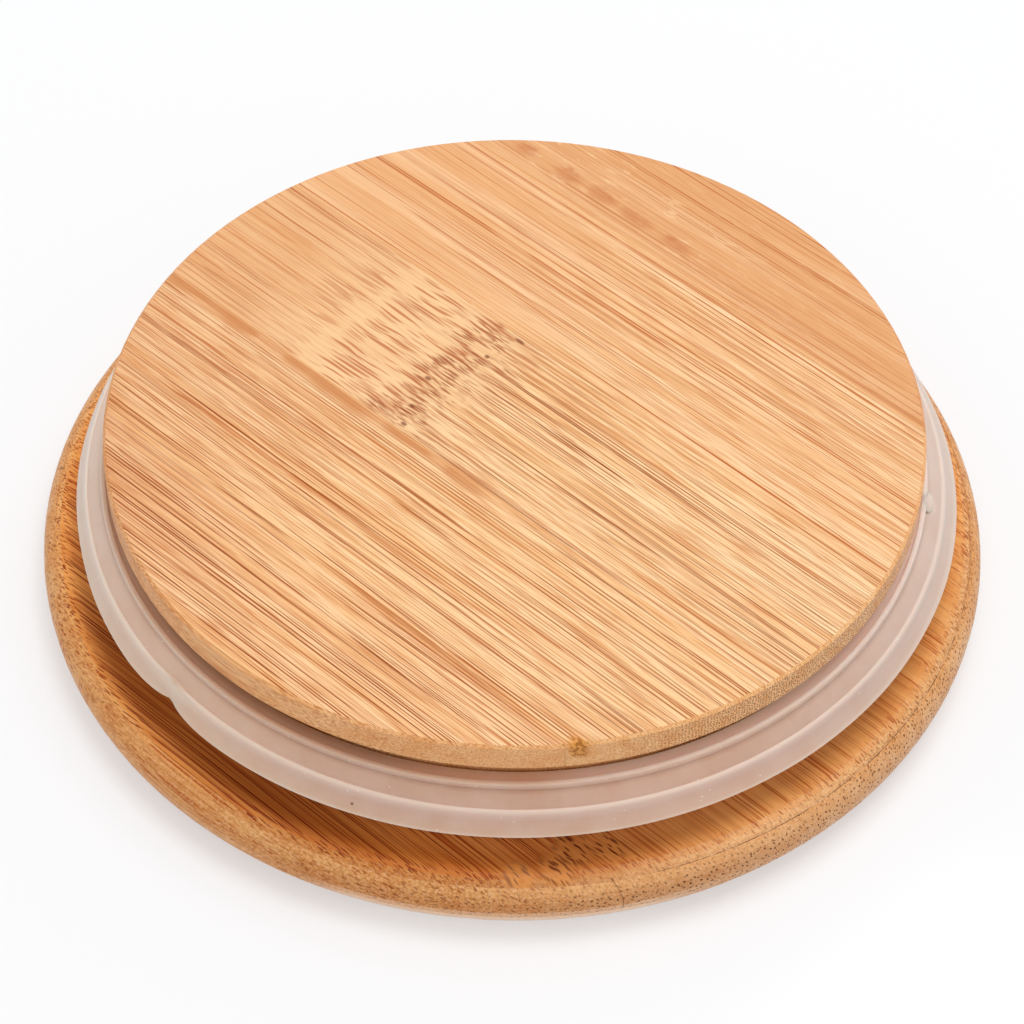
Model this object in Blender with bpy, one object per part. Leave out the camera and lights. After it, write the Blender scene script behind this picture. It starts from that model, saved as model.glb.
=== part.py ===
"""Bamboo lid of a storage canister, upside down on its outer face, with its silicone sealing ring.

The wood is one turned shape, sawn into the glued strips of the three-ply board that it is turned from.
The strips run along X. The ring is a turned lip profile that sits in the groove below the plug.
"""

import math

import bmesh
import bpy
from mathutils import Vector

# Plug, and the groove between it and the flange
PLUG_RADIUS = 0.04255
PLUG_HEIGHT = 0.0035
PLUG_CHAMFER = 0.0003
GROOVE_HEIGHT = 0.01025
GROOVE_DEPTH = 0.00155

# Flange, the disc that covers the mouth of the canister, wider than the plug by its ledge
FLANGE_LEDGE = 0.00745
FLANGE_THICKNESS = 0.0070
OUTER_EDGE_ROUND = 0.0038

# Laminated board. Its cover ply stops a margin short of the flange's inner face. The strips of the cover
# ply are a share of the flange's radius wide, and those of the other plies a share of the plug's radius
COVER_PLY_MARGIN = 0.0006
COVER_STRIP_SHARE = 0.372
INNER_STRIP_SHARE = 0.43713
COVER_SHIFT_SHARE = -0.043
COVER_STRIPS = 7
CORE_STRIPS = 6
PLUG_STRIPS = 5
GLUE_LINE = 0.0002

# Sealing ring
SEAT_GAP = 0.0003
SEAL_HEADROOM = 0.0016
SLEEVE_WALL = 0.0018
COLLAR_ROUND = 0.0003
SKIRT_DROP = 0.00045
UPPER_SKIRT_RUN = 0.00175
UPPER_SKIRT_FALL = 0.0016
LOWER_SKIRT_RUN = 0.00145
LOWER_SKIRT_FALL = 0.0023
SKIRT_THICKNESS = 0.0008
SKIRT_EDGE_THICKNESS = 0.0004
BEAD_RADIUS = 0.00045
BEAD_CREST = 0.0002

# Smoothness of the turned shapes
STEPS_AROUND = 128
STEPS_RIM = 8
STEPS_BEAD = 8
STEPS_COLLAR = 3
SHARP_ANGLE = math.radians(30)

# Finish
COVER_COLOUR = (0.60, 0.29, 0.12)
CORE_COLOUR = (0.52, 0.24, 0.09)
PLUG_COLOUR = (0.80, 0.46, 0.23)
TONE_SHARES = (0.97, 1.04, 0.94, 1.00, 1.06, 0.96, 1.02)
BAMBOO_ROUGHNESS = 0.55
SILICONE_COLOUR = (0.72, 0.62, 0.54)
SILICONE_ROUGHNESS = 0.45
SILICONE_TRANSMISSION = 0.35

# Places worked out from the sizes
FLANGE_RADIUS = PLUG_RADIUS + FLANGE_LEDGE
COVER_STRIP_WIDTH = FLANGE_RADIUS * COVER_STRIP_SHARE
COVER_SHIFT = COVER_STRIP_WIDTH * COVER_SHIFT_SHARE
INNER_STRIP_WIDTH = PLUG_RADIUS * INNER_STRIP_SHARE
COVER_PLY_TOP = FLANGE_THICKNESS - COVER_PLY_MARGIN
INNER_EDGE_ROUND = FLANGE_THICKNESS - OUTER_EDGE_ROUND
PLUG_BASE = FLANGE_THICKNESS + GROOVE_HEIGHT
LID_HEIGHT = PLUG_BASE + PLUG_HEIGHT
NECK_RADIUS = PLUG_RADIUS - GROOVE_DEPTH
CORE_PLY_TOP = (COVER_PLY_TOP + LID_HEIGHT) / 2
SLEEVE_BORE = NECK_RADIUS + SEAT_GAP
SLEEVE_RADIUS = SLEEVE_BORE + SLEEVE_WALL
SLEEVE_BASE = FLANGE_THICKNESS + SEAT_GAP
COLLAR_TOP = PLUG_BASE - SEAL_HEADROOM


def clear_scene():
    """Empties the scene, so the lid is all that it holds."""
    for thing in list(bpy.data.objects):
        bpy.data.objects.remove(thing)


def finish(name, colour, roughness, transmission=0):
    """A material of one colour."""
    material = bpy.data.materials.new(name)
    material.use_nodes = True
    shader = material.node_tree.nodes["Principled BSDF"]
    shader.inputs["Base Color"].default_value = (*colour, 1)
    shader.inputs["Roughness"].default_value = roughness
    shader.inputs["Metallic"].default_value = 0
    shader.inputs["Transmission Weight"].default_value = transmission
    return material


def add_object(name, shape, place, material, parent):
    """Turns a bmesh in world space into a smooth object whose origin is at place."""
    bmesh.ops.recalc_face_normals(shape, faces=shape.faces)
    bmesh.ops.translate(shape, verts=shape.verts, vec=-place)
    for face in shape.faces:
        face.smooth = True
    mesh = bpy.data.meshes.new(name)
    shape.to_mesh(mesh)
    shape.free()
    mesh.set_sharp_from_angle(angle=SHARP_ANGLE)
    mesh.materials.append(material)
    piece = bpy.data.objects.new(name, mesh)
    piece.location = place
    piece.parent = parent
    bpy.context.collection.objects.link(piece)
    return piece


def arc(centre, radius, start, end, steps):
    """Points of an arc in the profile plane, ends included, with angles from the outward direction."""
    points = []
    for step in range(steps + 1):
        angle = start + (end - start) * step / steps
        points.append(centre + radius * Vector((math.cos(angle), math.sin(angle))))
    return points


def turned(profile, closed):
    """Spins a profile of (radius, height) points about Z. An open profile gets a flat face at each end."""
    shape = bmesh.new()
    corners = [shape.verts.new((point.x, 0, point.y)) for point in profile]
    edges = [shape.edges.new(pair) for pair in zip(corners, corners[1:])]
    if closed:
        edges.append(shape.edges.new((corners[-1], corners[0])))
    bmesh.ops.spin(
        shape,
        geom=corners + edges,
        axis=(0, 0, 1),
        cent=(0, 0, 0),
        angle=math.tau,
        steps=STEPS_AROUND,
        use_merge=True,
    )
    open_edges = [edge for edge in shape.edges if edge.is_boundary]
    bmesh.ops.edgeloop_fill(shape, edges=open_edges)
    return shape


def lid_profile():
    """The wood's outline from its outer face up to the face of the plug."""
    outer_centre = Vector((FLANGE_RADIUS - OUTER_EDGE_ROUND, OUTER_EDGE_ROUND))
    inner_centre = Vector((FLANGE_RADIUS - INNER_EDGE_ROUND, OUTER_EDGE_ROUND))
    quarter = math.pi / 2
    rim = arc(outer_centre, OUTER_EDGE_ROUND, -quarter, 0, STEPS_RIM)
    rim += arc(inner_centre, INNER_EDGE_ROUND, 0, quarter, STEPS_RIM)[1:]
    groove = [Vector((NECK_RADIUS, FLANGE_THICKNESS)), Vector((NECK_RADIUS, PLUG_BASE))]
    plug = [
        Vector((PLUG_RADIUS - PLUG_CHAMFER, PLUG_BASE)),
        Vector((PLUG_RADIUS, PLUG_BASE + PLUG_CHAMFER)),
        Vector((PLUG_RADIUS, LID_HEIGHT - PLUG_CHAMFER)),
        Vector((PLUG_RADIUS - PLUG_CHAMFER, LID_HEIGHT)),
    ]
    return rim + groove + plug


def saw(shape, point, keep):
    """Cuts a shape through a point and keeps the side that the direction keep points to."""
    parts = shape.verts[:] + shape.edges[:] + shape.faces[:]
    cut = bmesh.ops.bisect_plane(shape, geom=parts, plane_co=point, plane_no=keep, clear_inner=True)
    rim = [part for part in cut["geom_cut"] if isinstance(part, bmesh.types.BMEdge)]
    bmesh.ops.edgeloop_fill(shape, edges=rim)


def joints_across(strips, width, shift):
    """Places of the glue joints across a ply, one strip's width apart and centred on its shift."""
    first = shift - width * (strips - 2) / 2
    return [first + width * step for step in range(strips - 1)]


def ply(blank, name, base, top, radius, joints, colour, parent):
    """Saws one ply from the turned blank and splits it into its strips, half a glue line from each joint."""
    half_line = GLUE_LINE / 2
    sides = [-radius] + joints + [radius]
    for index, (low, high) in enumerate(zip(sides, sides[1:])):
        strip = blank.copy()
        if base > 0:
            saw(strip, (0, 0, base + half_line), (0, 0, 1))
        if top < LID_HEIGHT:
            saw(strip, (0, 0, top - half_line), (0, 0, -1))
        if low in joints:
            saw(strip, (0, low + half_line, 0), (0, 1, 0))
        if high in joints:
            saw(strip, (0, high - half_line, 0), (0, -1, 0))
        tone = TONE_SHARES[index % len(TONE_SHARES)]
        strip_name = f"{name}_strip_{index + 1}"
        shade = [channel * tone for channel in colour]
        material = finish(strip_name, shade, BAMBOO_ROUGHNESS)
        add_object(strip_name, strip, Vector((0, (low + high) / 2, base)), material, parent)


def seal_profile():
    """The ring's closed outline, from the foot of its sleeve over the skirt to its collar."""
    root = Vector((SLEEVE_RADIUS, COLLAR_TOP - SKIRT_DROP))
    crease = root + Vector((UPPER_SKIRT_RUN, -UPPER_SKIRT_FALL))
    edge = crease + Vector((LOWER_SKIRT_RUN, -LOWER_SKIRT_FALL))

    # Outward directions of the skirt's two faces, and of the crease between them
    upper_angle = math.atan2(UPPER_SKIRT_RUN, UPPER_SKIRT_FALL)
    lower_angle = math.atan2(LOWER_SKIRT_RUN, LOWER_SKIRT_FALL)
    upper_outward = Vector((math.cos(upper_angle), math.sin(upper_angle)))
    lower_outward = Vector((math.cos(lower_angle), math.sin(lower_angle)))
    crease_angle = (upper_angle + lower_angle) / 2
    crease_outward = Vector((math.cos(crease_angle), math.sin(crease_angle)))
    crease_stretch = 1 / math.cos((upper_angle - lower_angle) / 2)

    # The bead's centre lies as deep below both faces as its radius is more than its crest
    bead_depth = BEAD_RADIUS - BEAD_CREST
    bead_centre = crease - crease_outward * bead_depth * crease_stretch
    bead_reach = math.acos(bead_depth / BEAD_RADIUS)
    bead = arc(bead_centre, BEAD_RADIUS, lower_angle - bead_reach, upper_angle + bead_reach, STEPS_BEAD)

    # The underside follows the faces, and thins towards the edge
    under_edge = edge - lower_outward * SKIRT_EDGE_THICKNESS
    under_crease = crease - crease_outward * SKIRT_THICKNESS * crease_stretch
    under_rise = (under_crease.x - SLEEVE_RADIUS) * UPPER_SKIRT_FALL / UPPER_SKIRT_RUN
    under_root = Vector((SLEEVE_RADIUS, under_crease.y + under_rise))

    sleeve_foot = [Vector((SLEEVE_BORE, SLEEVE_BASE)), Vector((SLEEVE_RADIUS, SLEEVE_BASE))]
    collar_centre = Vector((SLEEVE_RADIUS - COLLAR_ROUND, COLLAR_TOP - COLLAR_ROUND))
    collar = arc(collar_centre, COLLAR_ROUND, 0, math.pi / 2, STEPS_COLLAR)
    skirt = [under_root, under_crease, under_edge, edge] + bead + [root]
    return sleeve_foot + skirt + collar + [Vector((SLEEVE_BORE, COLLAR_TOP))]


def build():
    """Makes every strip and the ring."""
    clear_scene()
    lid = bpy.data.objects.new("lid", None)
    bpy.context.collection.objects.link(lid)

    blank = turned(lid_profile(), closed=False)
    core_radius = FLANGE_RADIUS - INNER_EDGE_ROUND
    cover_joints = joints_across(COVER_STRIPS, COVER_STRIP_WIDTH, COVER_SHIFT)
    core_joints = joints_across(CORE_STRIPS, INNER_STRIP_WIDTH, 0)
    plug_joints = joints_across(PLUG_STRIPS, INNER_STRIP_WIDTH, 0)
    ply(blank, "cover", 0, COVER_PLY_TOP, FLANGE_RADIUS, cover_joints, COVER_COLOUR, lid)
    ply(blank, "core", COVER_PLY_TOP, CORE_PLY_TOP, core_radius, core_joints, CORE_COLOUR, lid)
    ply(blank, "plug", CORE_PLY_TOP, LID_HEIGHT, PLUG_RADIUS, plug_joints, PLUG_COLOUR, lid)
    blank.free()

    silicone = finish("seal_ring", SILICONE_COLOUR, SILICONE_ROUGHNESS, SILICONE_TRANSMISSION)
    ring = turned(seal_profile(), closed=True)
    add_object("seal_ring", ring, Vector((0, 0, SLEEVE_BASE)), silicone, lid)


build()
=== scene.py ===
"""Looks of the bamboo lid: materials, glue lines, the finished sealing ring, table, light and camera."""

import math

import bmesh
import bpy
import numpy as np
from mathutils import Matrix, Vector, noise


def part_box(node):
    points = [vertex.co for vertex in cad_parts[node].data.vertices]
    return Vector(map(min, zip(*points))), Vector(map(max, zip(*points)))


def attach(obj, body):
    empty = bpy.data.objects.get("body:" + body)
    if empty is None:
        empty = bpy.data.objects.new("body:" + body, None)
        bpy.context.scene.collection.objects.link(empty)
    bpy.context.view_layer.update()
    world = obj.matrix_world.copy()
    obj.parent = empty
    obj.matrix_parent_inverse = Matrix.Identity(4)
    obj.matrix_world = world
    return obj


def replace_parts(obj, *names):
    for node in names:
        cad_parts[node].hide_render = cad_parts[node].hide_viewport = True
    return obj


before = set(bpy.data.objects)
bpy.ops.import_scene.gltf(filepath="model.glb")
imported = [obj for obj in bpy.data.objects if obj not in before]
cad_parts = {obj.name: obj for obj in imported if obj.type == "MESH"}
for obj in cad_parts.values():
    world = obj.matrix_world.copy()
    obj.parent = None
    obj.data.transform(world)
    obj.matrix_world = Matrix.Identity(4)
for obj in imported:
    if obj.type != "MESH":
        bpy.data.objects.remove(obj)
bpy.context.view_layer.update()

# Lengths are in millimetres, apart from the places, sizes and reaches of camera, lamp and table, in metres
MM = 0.001

# Camera, fitted to the photograph
CAMERA_AZIMUTH = math.radians(41.59)
CAMERA_ELEVATION = math.radians(49.74)
CAMERA_DISTANCE = 0.37895
CAMERA_DROP = 0.0012
CAMERA_PITCH = math.radians(49.01)
CAMERA_YAW = math.radians(-0.03)
CAMERA_ROLL = math.radians(1.18)
CAMERA_REACH = (0.01, 20)
LENS = 123.05
SENSOR_WIDTH = 36

# Light and table
WORLD_STRENGTH = 0.68
LAMP_POWER = 3.9
LAMP_SIZE = 0.55
LAMP_PLACE = (0.02, 0.24, 0.9)
TABLE_REACH = 6.0
TABLE_DROP = 0.02 * MM
TABLE_CLOUD_SCALE = (3.0, 3.0, 3.0)
TABLE_TINTS = ((0.3, (0.943, 0.95, 0.962)), (0.7, (0.957, 0.965, 0.98)))
TABLE_ROUGHNESS = 0.12
BACKDROP_TINT = (0.975, 0.975, 0.98, 1)
BACKDROP_SHARE = 0.5

# Sizes of the turned wood, from the CAD, how many strips each ply has, and one that shows where its ply begins
FLANGE_RADIUS = 50.0
FLANGE_THICKNESS = 7.0
OUTER_ROUND = 3.8
INNER_ROUND = 3.2
PLUG_RADIUS = 42.55
PLUG_BASE = 17.25
LID_HEIGHT = 20.75
NECK_RADIUS = 41.0
PLUG_CHAMFER = 0.3
STRIPS = {"cover": 7, "core": 6, "plug": 5}
MIDDLE_STRIP = 3

# Glue films in the CAD's gaps between strips
GLUE_LINE = 0.2
FILM_INSET = 0.02
FILM_SEED = 33

# Steps of the wood's rounds, of the collar's rounds, and round the films and the ring
ROUND_STEPS = 16
COLLAR_STEPS = 4
FILM_STEPS = 256
RING_STEPS = 480
SHARP_ANGLE = math.radians(35)

# The sealing ring's profile: single values are radii and heights, and pairs are (radius, height)
SLEEVE_BORE = 41.3
SLEEVE_RADIUS = 43.1
SLEEVE_BASE = 7.3
COLLAR_BORE = 42.62
COLLAR_RADIUS = 43.2
COLLAR_ROUND = 0.15
COLLAR_FLOOR = 15.3
COLLAR_SHOULDER = 15.5
SKIRT_TOP = 15.2
SKIRT_BLEND = ((43.45, 14.88), (43.27, 14.96), (COLLAR_RADIUS, 15.15))
SKIRT_THICKNESS = 0.8
SKIRT_ROOT = 0.87
CREASE = (44.85, 13.6)
EDGE = (46.3, 11.3)
EDGE_THICKNESS = 0.4

# The bead on the skirt: distance along the skirt from its crease and height above it
BEAD = ((-0.20, 0.0), (-0.16, 0.07), (-0.06, 0.13), (0.07, 0.16), (0.21, 0.16), (0.36, 0.13), (0.52, 0.08),
        (0.70, 0.02), (0.86, 0.0))

# Flaws of the ring: its skirt's lean and waviness, the kink in its edge with its place and widths in degrees
# round the axis, the dent that the kink leaves in the bead, and the gate mark with its half sizes
LIP_START = 43.6
LIP_WIDTH = 2.7
LIP_POWER = 1.5
LEAN = 0.36
LEAN_TOWARDS = math.radians(41.6)
LEAN_POWER = 5
WAVE = 0.07
WAVE_SCALE = 0.11
WAVE_LEVEL = 0.3
KINK_PLACE = -96.5
KINK_DEPTH = 0.85
KINK_WIDTH = 1.9
KINK_SPREAD = 5
KINK_SPREAD_SHARE = 0.3
KINK_RISE_SHARE = 0.3
BEAD_REACH = 0.6
DENT_DEPTH = 0.1
DENT_WIDTH = 2.5
GATE_PLACE = math.radians(34.6)
GATE_TILT = math.radians(38)
GATE_CENTRE = (43.28, 15.14)
GATE_SIZE = (0.72, 1.35, 0.40)
GATE_DETAIL = 4

# Directions round the axis, in the lid's own coordinates: the near side and the middle of the rim's painted
# highlight
# The ring's and the rim's painted light and shade are set by the near side
FRONT = math.radians(-48.4)
GLEAM_TOWARDS = math.radians(-27)

# In what follows, a scale is how many steps a noise takes in a millimetre along each axis, a range is where a
# fade begins and ends, with its values there if they aren't 0 and 1, and a shade is an 8-bit sRGB colour

# The silicone: its tint by distance from the axis, paler at the collar, the bead and the edge.
# That pale is partly milky silicone and partly painted highlight, and the dark line at the skirt's root is
# painted shade in its crease.
SEAL_TINTS = (
    (42.5, (230, 188, 160)), (42.62, (222, 187, 164)), (43.2, (223, 189, 167)), (43.3, (204, 160, 134)),
    (43.45, (208, 164, 138)), (43.65, (216, 178, 154)), (44.62, (213, 177, 155)), (44.80, (236, 213, 197)),
    (45.05, (232, 207, 192)), (45.4, (216, 183, 164)), (46.1, (218, 184, 160)), (46.3, (228, 200, 180)),
)
SEAL_CLOUD_SCALE = (0.25, 0.25, 0.25)
SEAL_CLOUD_RANGE = (0.3, 0.7, 0.0, 0.25)
SEAL_CLOUD_SHADE = (236, 216, 204)
SEAL_GRAIN_SCALE = (9.0, 9.0, 9.0)
SEAL_ROUGHNESS_RANGE = (0.3, 0.7, 0.50, 0.60)
SEAL_BUMP = 0.15
SEAL_DEPTH = 1.2
SEAL_DEPTH_SHARES = (1.0, 0.72, 0.6)
SEAL_INDEX = 1.41

# Its tone round the axis, painted light and shade, by shares of the way to the front or across it
# Painted light makes it warmer and paler on the left and paler at the sides and back, and painted shade greyer
# on the right, as seen from the near side
LEFT_SHARES, LEFT_SHADE = (-0.2, -0.8, 0.0, 0.22), (255, 226, 196)
FAR_SHARES, FAR_SHADE = (0.85, 0.0, 0.0, 0.34), (240, 232, 226)
RIGHT_SHARES, RIGHT_SHADE = (0.3, 0.9, 0.0, 0.30), (196, 182, 172)

# The collar below the plug's edge, with painted light on the right and a painted shadow of the plug on the
# left, as seen from the near side
COLLAR_LIGHT_RANGE, COLLAR_LIGHT_SHADE = (43.22, 42.95), (249, 230, 226)
COLLAR_RIGHT_SHARES = (0.02, 0.22, 0.0, 0.60)
COLLAR_SHADOW_RANGE, COLLAR_SHADOW_SHADE = (42.7, 41.3, 0.25, 0.90), (172, 136, 114)
COLLAR_SHADOW_LIMIT = (43.35, 43.10)
COLLAR_LEFT_SHARES = (-0.08, -0.35)

# Dust, the milky cloud round the gate and a dark speck on the ring
DUST_SCALE = (0.9, 0.9, 0.9)
DUST_RANGE = (0.10, 0.05)
DUST_PICK_RANGE = (0.55, 0.6)
DUST_STRENGTH, DUST_SHADE = 0.7, (250, 240, 230)
GATE_CLOUD_RANGE = (1.7, 0.9)
GATE_CLOUD_STRENGTH, GATE_CLOUD_SHADE = 0.4, (244, 224, 208)
SPECK_PLACE = (17.4, -42.33, 12.13)
SPECK_RANGE = (0.2, 0.1)
SPECK_STRENGTH, SPECK_SHADE = 0.8, (120, 72, 50)

# The bamboo pattern: how far apart two strips' patterns lie, and how bundles drift across and through them
STRIP_STEP = 37.7
SWAY, SWAY_SCALE = 0.8, (0.014, 0.10, 0.10)
RISE, RISE_SCALE = 1.3, (0.013, 1.1, 1.0)
RISE_STEP = 40.0
CLIMB = 0.0015

# Bundles: their pitch, the radius of the thinnest and the thickest, and how fast each changes along its way
BOLD_BUNDLES = (0.52, 0.11, 0.19, 0.13)
SMALL_BUNDLES = (0.235, 0.055, 0.09, 0.20)
BUNDLE_STEP = 90.0
BUNDLE_ALONG_RANGE = (0.28, 0.50, 0.45, 1.0)
WEAKEST_BUNDLE = 0.50
SPOT_SHARES = (0.65, 1.0)
MIDDLE_SHARES = (0.42, 0.80)
PORE_RANGE = (0.3, 0.6, 0.5, 1.0)

# Where bundles crowd, fine fibres and the slow bands of the ground
BOLD_CROWD_SCALE, BOLD_CROWD_RANGE = (0.016, 0.40, 0.30), (0.34, 0.60)
SMALL_CROWD_SCALE, SMALL_CROWD_RANGE = (0.018, 0.62, 1.0), (0.36, 0.62)
SMALL_CROWD_STEP = 60.0
SPARSE_STRENGTH = 0.40
FIBRE_SCALE, FIBRE_RANGE = (0.16, 7.6, 7.6), (0.49, 0.58)
FIBRE_STRENGTH = 0.56
BAND_SCALE, BAND_RANGE = (0.02, 0.55, 0.50), (0.30, 0.70)
WOOD_ROUGHNESS_RANGE = (0.3, 0.7, 0.34, 0.46)
WOOD_BUMP = 0.12
WOOD_GLOSS = 0.15
BUMP_DEPTH = 0.02

# How a face lies to the fibres, by its normal's part along X or Z
ACROSS_RANGE = (0.10, 0.55)
TURNED_RANGE, TURNED_STRENGTH = (0.97, 0.86), 0.9
SQUARE_RANGE = (0.50, 0.92)
ALONG_RANGE = (0.80, 0.30)
SMOOTH_SIDE_STRENGTH = 0.8
# Painted light on the plug's downward facing lower edge, which lifts its shade
UNDERSIDE_LIGHT_RANGE = (-0.3, -0.6)
UNDERSIDE_LIGHT_HEIGHTS = (16.0, 17.0)
UNDERSIDE_LIGHT_STRENGTH = 0.9

# The net of dots on the plug's +X end, and the grit of rough cuts, less where they face +X squarely or -X
NET_PITCH = 0.31
NET_SCATTER = 0.55
NET_RANGE = (0.36, 0.16)
NET_SQUARE_RANGE = (0.78, 0.985, 0.06, 1.0)
GRIT_SCALE = (3.0, 4.4, 4.4)
GRITS = (((0.51, 0.66, 0.0, 0.48), (244, 200, 158)), ((0.49, 0.36, 0.0, 0.32), (140, 76, 34)))
GRIT_STRENGTH = 1.15
GRIT_SQUARE_LOSS = 0.6
GRIT_BACK_RANGE = (0.35, -0.35, 0.0, 0.65)

# Shades of the bamboo, and tints that multiply it
GROUND_SHADES = ((0.0, (255, 216, 167)), (0.5, (254, 211, 160)), (1.0, (247, 197, 142)))
FIBRE_SHADE = (217, 143, 82)
THREAD_SHADE = (178, 92, 28)
DEEP_THREAD_SHADE = (140, 62, 14)
CORD_SHADE = (194, 101, 34)
NET_SHADE = (118, 62, 22)
PORE_SHADE = (98, 48, 14)
UNDERSIDE_LIGHT_SHADE = (255, 224, 176)
SQUARE_CUT_TINT = (0.97, 1.11, 1.58)

# The rounded rim, with painted light: a highlight above, a shade below and a reflection of the table at its
# foot
# Ranges are of its normal's upright part, and shares are of the flange's radius
GLEAM_RANGES = ((0.35, 0.78), (0.985, 0.88))
GLEAM_SHARES = (0.86, 0.96)
GLEAM_STRENGTH, GLEAM_SHADE = 0.30, (255, 198, 142)
TROUGH_SHADE_RANGES = ((0.66, 0.30), (-0.10, 0.12))
TROUGH_SHADE_SHARES = (0.78, 0.93)
TROUGH_SHADE_TINT = (0.89, 0.79, 0.70)
FOOT_REFLECTION_RANGE = (0.05, -0.30)
FOOT_REFLECTION_SHARES = (0.90, 0.96)
FOOT_REFLECTION_STRENGTH, FOOT_REFLECTION_SHADE = 0.75, (255, 226, 200)

# Ends of the cover ply, where the core's fine lines are calm, as bamboo() says, how many of its strips have
# knots, and the step of the patterns' seeds from ply to ply
COVER_ENDS = (0.90, 0.80, 0.66)
CORE_CALM = (44, 22, 0.45, (0.925, 1.0, 1.24))
# Those strips also carry the painted shade in the flange's face
KNOTTED_CORES = 2
SEED_STEP = 10

# Edge of a soft ellipse, and the reach of short strokes, as shares of its radius and of a cell
ELLIPSE_SHARES = (1.0, 0.35)
STROKE_SHARES = (0.24, 0.44)
STROKE_CORE_SHARE = 0.5
STROKE_PICK = 0.1

# The knuckle across the plug's middle strip: its place, its waviness and the reaches of its parts
KNUCKLE_PLACE = 9.5
KNUCKLE_WARP, KNUCKLE_WARP_SCALE = 9.0, (0.22, 0.34, 0.0)
KNUCKLE_SIDES = dict(left=(1.5, -2.0), right=(-1.0, 2.0), right_end=(20.0, 5.0), close=(7.5, 2.5),
                     inner=(4.5, 1.5), core=(3.4, 0.8))
KNUCKLE_PALE_RANGE, KNUCKLE_PALE_WARP = (-32.0, -14.0), 8.0
KNUCKLE_CLOSE_STRENGTH = 0.8
CREAM_SCALE, CREAM_RANGE = (0.10, 0.5, 0.0), (0.30, 0.55, 0.35, 1.0)
CREAM_STRENGTH, CREAM_SHADE = 0.80, (249, 205, 153)
KNUCKLE_WANDER, KNUCKLE_WANDER_SCALE = 1.2, (0.12, 0.3, 0.0)
PATCH_SCALE, PATCH_RANGE = (0.42, 0.34, 0.0), (0.44, 0.58)
STAIN_SCALE, STAIN_RANGE = (0.40, 2.8, 0.0), (0.44, 0.58, 0.0, 0.60)
STAIN_SHADE = (170, 94, 54)

# Its strokes: shift along and across, length, pitch, share of the cells, part, strength and shade
KNUCKLE_STROKES = (
    (0.0, 0.0, 8.0, 0.50, 0.60, "pale", 0.85, (196, 116, 70)),
    (5.0, 3.1, 4.6, 0.36, 0.50, "pale", 0.65, (206, 132, 86)),
    (3.0, 5.2, 10.0, 0.40, 0.60, "right", 0.60, (184, 104, 56)),
    (9.0, 7.3, 6.4, 0.42, 0.60, "close", 0.80, (176, 96, 52)),
    (2.0, 1.7, 3.0, 0.34, 0.55, "inner", 0.80, (162, 84, 48)),
)

# Its holes: the place and size of each
KNUCKLE_HOLES = (((-7.2, 8.6), (0.9, 0.28)), ((-8.2, 4.6), (0.42, 0.36)), ((-10.6, -1.9), (0.55, 0.34)),
                 ((-9.1, -5.9), (0.48, 0.32)), ((-8.0, -8.3), (0.55, 0.34)))
HOLE_STRENGTH, HOLE_SHADE = 0.8, (132, 66, 40)

# The orange band along the joint beside the knuckle, with the levels at which two noises are read along X
ORANGE_JOINT = -9.35
ORANGE_WIDTH_RANGE = (0.3, 0.7, 0.9, 2.2)
ORANGE_WIDTH_SCALE, ORANGE_WIDTH_LEVEL = (0.09, 1.0, 1.0), 3.0
ORANGE_CORE_SHARE = 0.4
ORANGE_REACH = (12.0, -2.0)
ORANGE_RUN_SCALE, ORANGE_RUN_LEVEL = (0.14, 1.0, 1.0), 9.0
ORANGE_RUN_RANGE = (0.36, 0.52, 0.35, 1.0)
ORANGE_STRENGTH, ORANGE_SHADE = 0.85, (206, 134, 80)

# The small knot on the plug's front edge
EDGE_KNOT = (32.9, -26.9)
EDGE_KNOT_SIZE = (1.7, 1.15)
EDGE_KNOT_HEIGHTS = (18.4, 19.4)
EDGE_KNOT_STRENGTH, EDGE_KNOT_SHADE = 0.75, (224, 150, 62)
FLECK_SCALE, FLECK_RANGE = (2.0, 3.0, 3.0), (0.48, 0.58)
FLECK_STRENGTH, FLECK_SHADE = 0.7, (150, 84, 20)

# The flange's face in front of the plug: a band of painted shade round the ring, by radius and along X, and a
# darker run of painted shadow on the near left
DEEP_SHADE_RADII, DEEP_SHADE_OUTER_RADII = (43.4, 46.6), (49.7, 47.9)
DEEP_SHADE_START, DEEP_SHADE_END = (-4.0, 16.0), (46.0, 36.0)
DEEP_SHADE_TINT = (0.77, 0.62, 0.47)
SHADED_RUN = (-6.0, -46.0)
SHADED_RUN_SIZE = (36, 14)
SHADED_RUN_RADII = (48.8, 46.2)
SHADED_RUN_STRENGTH, SHADED_RUN_TINT = 0.8, (0.50, 0.36, 0.24)

# Knots beside the plug: place, size and shade of each, and their strokes as in KNUCKLE_STROKES
FLANGE_KNOTS = (((34.4, -28.9), (2.8, 2.5), (116, 48, 14)), ((36.8, -26.3), (2.4, 2.0), (120, 50, 16)),
                ((34.8, -31.8), (2.6, 2.0), (138, 70, 32)), ((32.6, -34.8), (2.4, 1.9), (156, 98, 62)))
KNOT_STROKES = ((0.0, 0.0, 3.0, 0.46, 0.75), (3.0, 1.2, 1.9, 0.36, 0.65))
KNOT_WANDER, KNOT_WANDER_SCALE = 0.8, (0.5, 0.5, 0.0)
KNOT_STRENGTH, KNOT_SHADE = 0.7, (230, 150, 76)

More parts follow.
